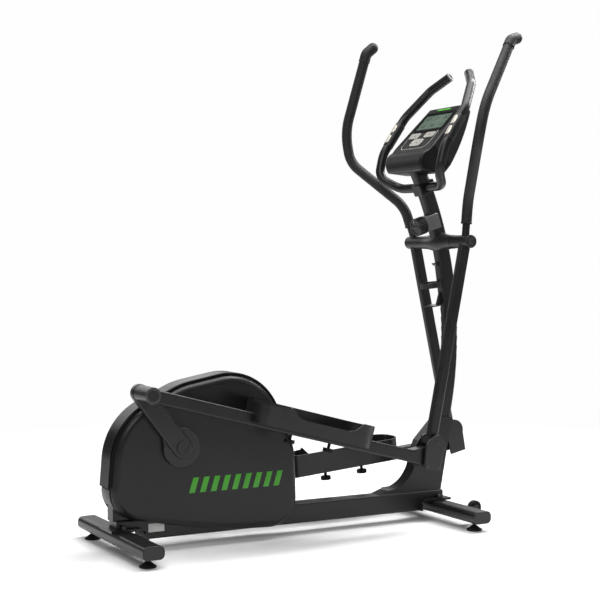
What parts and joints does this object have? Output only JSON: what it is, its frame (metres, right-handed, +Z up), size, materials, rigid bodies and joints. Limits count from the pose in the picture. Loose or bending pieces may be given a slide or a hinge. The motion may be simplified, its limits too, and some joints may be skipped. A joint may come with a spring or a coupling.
{
  "type": "elliptical trainer",
  "caption": "Rear-drive elliptical cross trainer: belt-driven flywheel in a rounded shroud, crank-driven foot rods with trays, swinging handles on a curved mast, console and fixed handlebar.",
  "frame": {"origin": "middle of the whole machine at rest, on the floor under its feet", "axes": "+Z up, +X towards the front of the machine, where the mast stands, +Y to the left of the person who uses it"},
  "size_m": [1.3988, 0.611, 1.6275],
  "materials": {
    "frame_paint": "satin black powder coat",
    "bare_steel": "machined",
    "zinc_steel": "blackened bolts",
    "iron": "turned",
    "shroud_matte": "fine texture, charcoal",
    "shroud_gloss": "gloss black",
    "moulded_plastic": "dark grey moulded",
    "light_plastic": "mid grey moulded",
    "console_plastic": "semi-gloss",
    "screen": "clear cover over a display",
    "key_silver": "silver lacquer",
    "sensor_metal": "pressed contact plates",
    "foam": "matt foam",
    "rubber": "matt",
    "belt_rubber": "ribbed"
  },
  "bodies": {
    "frame": {"axle_cover": "moulded_plastic", "axle_tube": "bare_steel", "bottle_cage": "moulded_plastic", "console_back": "moulded_plastic", "console_bracket": "bare_steel", "console_face": "console_plastic", "console_screen": "screen", "crank_bearings": "bare_steel", "drive_belt": "belt_rubber", "drive_bracket": "frame_paint", "frame_beam": "frame_paint", "front_stabiliser": "frame_paint", "handlebar": "frame_paint", "handlebar_clamp": "frame_paint", "mast": "frame_paint", "pulse_sensors": "sensor_metal", "rear_stabiliser": "frame_paint", "saddle_bolts": "zinc_steel", "shroud_left": "shroud_matte", "shroud_right": "shroud_matte", "shroud_spine": "shroud_gloss", "stabiliser_caps": "moulded_plastic", "tension_bracket": "light_plastic"},
    "crank": {"crank_axle": "bare_steel", "crank_arm_left": "bare_steel", "crank_arm_right": "bare_steel", "crank_cover_left": "moulded_plastic", "crank_cover_right": "moulded_plastic", "drive_pulley": "light_plastic"},
    "flywheel": {"flywheel": "iron"},
    "idler": {"idler_roller": "moulded_plastic"},
    "brake": {"magnet_bracket": "bare_steel"},
    "tension_dial": {"tension_knob": "moulded_plastic"},
    "arm_left": {"swing_arm_left": "frame_paint", "handle_tube_left": "frame_paint", "handle_grip_left": "foam", "joint_cover_left": "moulded_plastic"},
    "rod_left": {"foot_rod_left": "frame_paint", "crank_pin_left": "bare_steel", "pedal_left": "moulded_plastic"},
    "pedal_knob_rear_left": {"pedal_knob_rear_left": "rubber"},
    "pedal_knob_front_left": {"pedal_knob_front_left": "rubber"},
    "transport_wheel_left": {"transport_wheel_left": "rubber"},
    "levelling_foot_rear_left": {"levelling_foot_rear_left": "rubber"},
    "levelling_foot_front_left": {"levelling_foot_front_left": "rubber"},
    "arm_right": {"swing_arm_right": "frame_paint", "handle_tube_right": "frame_paint", "handle_grip_right": "foam", "joint_cover_right": "moulded_plastic"},
    "rod_right": {"foot_rod_right": "frame_paint", "crank_pin_right": "bare_steel", "pedal_right": "moulded_plastic"},
    "pedal_knob_rear_right": {"pedal_knob_rear_right": "rubber"},
    "pedal_knob_front_right": {"pedal_knob_front_right": "rubber"},
    "transport_wheel_right": {"transport_wheel_right": "rubber"},
    "levelling_foot_rear_right": {"levelling_foot_rear_right": "rubber"},
    "levelling_foot_front_right": {"levelling_foot_front_right": "rubber"},
    "key_left": {"key_left": "key_silver"},
    "key_right": {"key_right": "key_silver"},
    "key_middle": {"key_middle": "key_silver"}
  },
  "joints": [
    {"name": "crank_turn", "type": "hinge", "parent": "frame", "child": "crank", "pos_m": [-0.47435, 0, 0.311], "axis": [0, 1, 0], "continuous": true},
    {"name": "flywheel_turn", "type": "hinge", "parent": "frame", "child": "flywheel", "pos_m": [-0.22115, 0, 0.25], "axis": [0, 1, 0], "continuous": true},
    {"name": "idler_turn", "type": "hinge", "parent": "frame", "child": "idler", "pos_m": [-0.32527, 0, 0.17405], "axis": [0, 1, 0], "continuous": true},
    {"name": "tension_turn", "type": "hinge", "parent": "frame", "child": "tension_dial", "pos_m": [0.48349, 0, 1.008], "axis": [-0.9497, 0, -0.3133], "range_deg": [0, 300]},
    {"name": "brake_swing", "type": "hinge", "parent": "frame", "child": "brake", "pos_m": [-0.11056, 0, 0.17257], "axis": [0, 1, 0], "range_deg": [0, 5]},
    {"name": "arm_right_swing", "type": "hinge", "parent": "frame", "child": "arm_right", "pos_m": [0.50485, 0, 0.936], "axis": [0, -1, 0], "range_deg": [-4.8, 28.9]},
    {"name": "rod_right_swing", "type": "hinge", "parent": "arm_right", "child": "rod_right", "pos_m": [0.36422, 0, 0.25165], "axis": [0, -1, 0], "range_deg": [-23.58, 3.92]},
    {"name": "arm_left_swing", "type": "hinge", "parent": "frame", "child": "arm_left", "pos_m": [0.50485, 0, 0.936], "axis": [0, -1, 0], "range_deg": [-28.9, 4.8]},
    {"name": "rod_left_swing", "type": "hinge", "parent": "arm_left", "child": "rod_left", "pos_m": [0.65585, 0, 0.25386], "axis": [0, -1, 0], "range_deg": [-3.2, 19.3]},
    {"name": "pedal_knob_rear_left_turn", "type": "hinge", "parent": "rod_left", "child": "pedal_knob_rear_left", "pos_m": [0.14349, 0.148, 0.18219], "axis": [-0.0865, 0, 0.9963], "continuous": true},
    {"name": "pedal_knob_front_left_turn", "type": "hinge", "parent": "rod_left", "child": "pedal_knob_front_left", "pos_m": [0.28496, 0.148, 0.19447], "axis": [-0.0865, 0, 0.9963], "continuous": true},
    {"name": "transport_wheel_left_turn", "type": "hinge", "parent": "frame", "child": "transport_wheel_left", "pos_m": [0.54085, 0.155, 0.056], "axis": [0, 1, 0], "continuous": true},
    {"name": "levelling_foot_rear_left_turn", "type": "hinge", "parent": "frame", "child": "levelling_foot_rear_left", "pos_m": [-0.65115, 0.2255, 0], "axis": [0, 0, 1], "continuous": true},
    {"name": "levelling_foot_front_left_turn", "type": "hinge", "parent": "frame", "child": "levelling_foot_front_left", "pos_m": [0.47985, 0.239, 0], "axis": [0, 0, 1], "continuous": true},
    {"name": "pedal_knob_rear_right_turn", "type": "hinge", "parent": "rod_right", "child": "pedal_knob_rear_right", "pos_m": [-0.14213, -0.148, 0.35773], "axis": [0.256, 0, 0.9667], "continuous": true},
    {"name": "pedal_knob_front_right_turn", "type": "hinge", "parent": "rod_right", "child": "pedal_knob_front_right", "pos_m": [-0.00486, -0.148, 0.32138], "axis": [0.256, 0, 0.9667], "continuous": true},
    {"name": "transport_wheel_right_turn", "type": "hinge", "parent": "frame", "child": "transport_wheel_right", "pos_m": [0.54085, -0.155, 0.056], "axis": [0, 1, 0], "continuous": true},
    {"name": "levelling_foot_rear_right_turn", "type": "hinge", "parent": "frame", "child": "levelling_foot_rear_right", "pos_m": [-0.65115, -0.2255, 0], "axis": [0, 0, 1], "continuous": true},
    {"name": "levelling_foot_front_right_turn", "type": "hinge", "parent": "frame", "child": "levelling_foot_front_right", "pos_m": [0.47985, -0.239, 0], "axis": [0, 0, 1], "continuous": true},
    {"name": "key_left_press", "type": "slide", "parent": "frame", "child": "key_left", "axis": [0.7253, 0, -0.6884], "range_m": [0, 0.0015], "stiffness_N_per_m": 800, "springref_m": -0.0008},
    {"name": "key_right_press", "type": "slide", "parent": "frame", "child": "key_right", "axis": [0.7253, 0, -0.6884], "range_m": [0, 0.0015], "stiffness_N_per_m": 800, "springref_m": -0.0008},
    {"name": "key_middle_press", "type": "slide", "parent": "frame", "child": "key_middle", "axis": [0.7253, 0, -0.6884], "range_m": [0, 0.0015], "stiffness_N_per_m": 800, "springref_m": -0.0008}
  ],
  "couplings": [
    {"joint": "flywheel_turn", "follows": "crank_turn", "ratio": 5},
    {"joint": "idler_turn", "follows": "crank_turn", "ratio": -7},
    {"joint": "brake_swing", "follows": "tension_turn", "ratio": 0.016667},
    {"joint": "arm_left_swing", "follows": "arm_right_swing", "ratio": -1},
    {"joint": "rod_right_swing", "follows": "arm_right_swing", "ratio": -0.81579},
    {"joint": "rod_left_swing", "follows": "arm_right_swing", "ratio": 0.66768}
  ]
}
